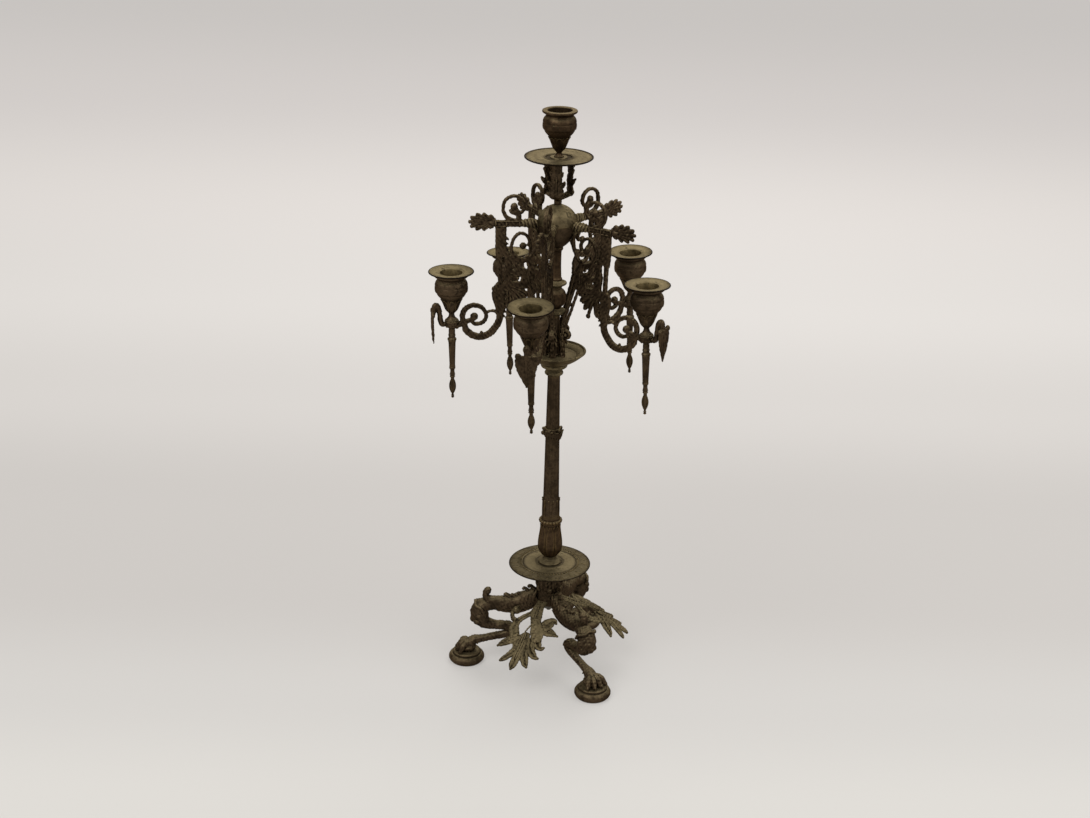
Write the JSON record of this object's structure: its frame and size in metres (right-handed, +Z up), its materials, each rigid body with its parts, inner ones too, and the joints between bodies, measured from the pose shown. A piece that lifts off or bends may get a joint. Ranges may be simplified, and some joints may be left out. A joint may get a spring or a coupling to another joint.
{
  "type": "candelabrum",
  "caption": "Tall bronze candelabrum on clawed tripod legs, with a slim tapered stem, openwork scroll arms, vase nozzles with drip pans, turned pendants and a raised top light.",
  "frame": {"origin": "on the floor, under the middle of the overall outline", "axes": "+Z up, -Y towards the side that the picture shows, +X to its right"},
  "size_m": [0.2456, 0.254, 0.6199],
  "materials": {
    "dark_bronze": "dark brown patinated bronze",
    "dusty_bronze": "olive brown bronze, worn and dusty on its upper faces",
    "warm_bronze": "warm brown bronze",
    "pale_brass": "pale khaki brass with olive tarnish",
    "plain_steel": "plain dull steel"
  },
  "bodies": {
    "frame": {"foot_pad_left": "dark_bronze", "foot_pad_right": "dark_bronze", "foot_pad_back": "dark_bronze", "leg_left": "dark_bronze", "leg_right": "dark_bronze", "leg_back": "dark_bronze", "base_leaf_front": "dusty_bronze", "base_leaf_right": "dusty_bronze", "base_leaf_back": "dusty_bronze", "base_hub": "dark_bronze", "base_disc": "dusty_bronze", "foot_collar": "dusty_bronze", "calyx": "warm_bronze", "stem": "dark_bronze", "stem_clasp": "dark_bronze", "stem_cap": "dusty_bronze", "arm_dish": "dusty_bronze", "shaft_socle": "dark_bronze", "shaft_ring": "dusty_bronze", "pear_knop": "warm_bronze", "collar_disc": "dusty_bronze", "shaft_sleeve": "warm_bronze", "bulb_cup": "dark_bronze", "bulb_dome": "dusty_bronze", "arm_left": "dark_bronze", "arm_front": "dark_bronze", "arm_right": "dark_bronze", "arm_back_right": "dark_bronze", "arm_back_left": "dark_bronze", "arm_leaf_left": "dark_bronze", "nozzle_left": "dark_bronze", "pendant_left": "dark_bronze", "arm_leaf_front": "dark_bronze", "nozzle_front": "dark_bronze", "pendant_front": "dark_bronze", "arm_leaf_right": "dark_bronze", "nozzle_right": "dark_bronze", "pendant_right": "dark_bronze", "arm_leaf_back_right": "dark_bronze", "nozzle_back_right": "dark_bronze", "pendant_back_right": "dark_bronze", "arm_leaf_back_left": "dark_bronze", "nozzle_back_left": "dark_bronze", "pendant_back_left": "dark_bronze", "top_shaft": "dark_bronze", "top_dish": "dusty_bronze", "top_nozzle": "warm_bronze", "tie_rod": "plain_steel", "tie_washer": "plain_steel", "tie_nut": "plain_steel"},
    "pan_left": {"drip_pan_left": "pale_brass"},
    "pan_front": {"drip_pan_front": "pale_brass"},
    "pan_right": {"drip_pan_right": "pale_brass"},
    "pan_back_right": {"drip_pan_back_right": "pale_brass"},
    "pan_back_left": {"drip_pan_back_left": "pale_brass"}
  },
  "joints": [
    {"name": "lift_pan_left", "type": "slide", "parent": "frame", "child": "pan_left", "axis": [-0.0122, -0.0012, 0.9999], "range_m": [0, 0.03]},
    {"name": "lift_pan_front", "type": "slide", "parent": "frame", "child": "pan_front", "axis": [-0.0201, -0.0901, 0.9957], "range_m": [0, 0.03]},
    {"name": "lift_pan_right", "type": "slide", "parent": "frame", "child": "pan_right", "axis": [-0.021, 0.0124, 0.9997], "range_m": [0, 0.03]},
    {"name": "lift_pan_back_right", "type": "slide", "parent": "frame", "child": "pan_back_right", "axis": [-0.0301, -0.0265, 0.9992], "range_m": [0, 0.03]},
    {"name": "lift_pan_back_left", "type": "slide", "parent": "frame", "child": "pan_back_left", "axis": [-0.0285, 0.054, 0.9981], "range_m": [0, 0.03]}
  ]
}
